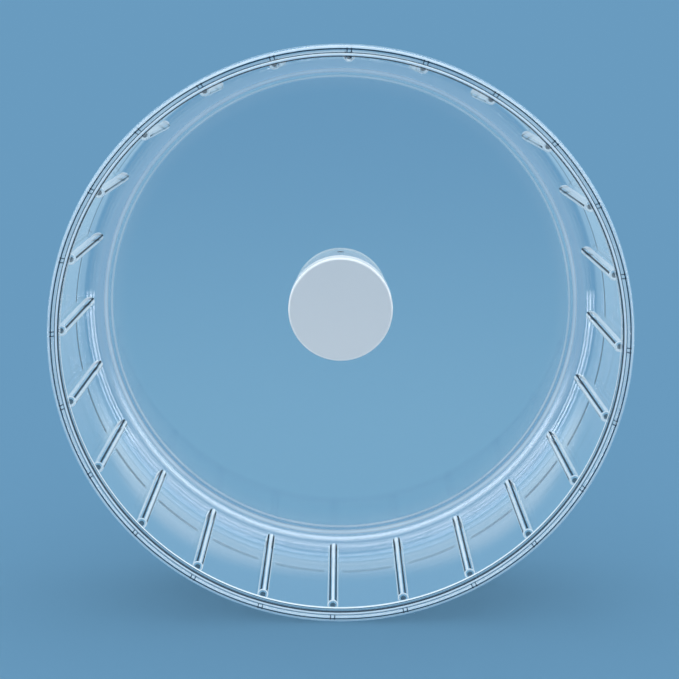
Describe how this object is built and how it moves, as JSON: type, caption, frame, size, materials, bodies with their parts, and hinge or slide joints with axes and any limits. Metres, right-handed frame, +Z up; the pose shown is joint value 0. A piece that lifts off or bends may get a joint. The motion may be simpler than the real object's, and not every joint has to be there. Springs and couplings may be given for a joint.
{
  "type": "hamster wheel",
  "caption": "Clear round running wheel for a small pet: an open drum with inner rungs and a white hub cap, turning on ball bearings in front of a clear hub with a socket for a stand.",
  "frame": {"origin": "centre of the socket's mouth, on the rear face of the rear hub", "axes": "+Y along the axle, out of the socket's mouth, so the drum's open front faces -Y; +Z up; +X to the right seen from the front"},
  "size_m": [0.21, 0.105, 0.21],
  "materials": {
    "clear_plastic": "clear, polished",
    "white_plastic": "satin gloss",
    "bearing_steel": "ground and polished",
    "axle_steel": "turned",
    "screw_steel": "zinc plated",
    "brass": "drilled band",
    "black_steel": "black oxide"
  },
  "bodies": {
    "rear_mount": {"rear_hub": "clear_plastic", "axle": "axle_steel", "grub_screw": "black_steel", "axle_screw": "screw_steel", "front_washer": "screw_steel", "rear_washer": "screw_steel", "bearing_spacer": "bearing_steel", "front_bearing_inner_ring": "bearing_steel", "rear_bearing_inner_ring": "bearing_steel"},
    "wheel": {"drum": "clear_plastic", "rung_01": "clear_plastic", "rung_02": "clear_plastic", "rung_03": "clear_plastic", "rung_04": "clear_plastic", "rung_05": "clear_plastic", "rung_06": "clear_plastic", "rung_07": "clear_plastic", "rung_08": "clear_plastic", "rung_09": "clear_plastic", "rung_10": "clear_plastic", "rung_11": "clear_plastic", "rung_12": "clear_plastic", "rung_13": "clear_plastic", "rung_14": "clear_plastic", "rung_15": "clear_plastic", "rung_16": "clear_plastic", "rung_17": "clear_plastic", "rung_18": "clear_plastic", "rung_19": "clear_plastic", "rung_20": "clear_plastic", "rung_21": "clear_plastic", "rung_22": "clear_plastic", "rung_23": "clear_plastic", "rung_24": "clear_plastic", "hub_cap": "white_plastic", "front_bearing_outer_ring": "bearing_steel", "front_bearing_shields": "bearing_steel", "rear_bearing_outer_ring": "bearing_steel", "rear_bearing_shields": "bearing_steel"},
    "front_ball_set": {"front_bearing_balls": "bearing_steel", "front_bearing_cage": "brass"},
    "rear_ball_set": {"rear_bearing_balls": "bearing_steel", "rear_bearing_cage": "brass"}
  },
  "joints": [
    {"name": "wheel_spin", "type": "hinge", "parent": "rear_mount", "child": "wheel", "pos_m": [0, -0.0285, 0], "axis": [0, 1, 0], "continuous": true},
    {"name": "front_ball_orbit", "type": "hinge", "parent": "rear_mount", "child": "front_ball_set", "pos_m": [0, -0.0315, 0], "axis": [0, 1, 0], "continuous": true},
    {"name": "rear_ball_orbit", "type": "hinge", "parent": "rear_mount", "child": "rear_ball_set", "pos_m": [0, -0.0255, 0], "axis": [0, 1, 0], "continuous": true}
  ],
  "couplings": [
    {"joint": "front_ball_orbit", "follows": "wheel_spin", "ratio": 0.58333},
    {"joint": "rear_ball_orbit", "follows": "wheel_spin", "ratio": 0.58333}
  ]
}
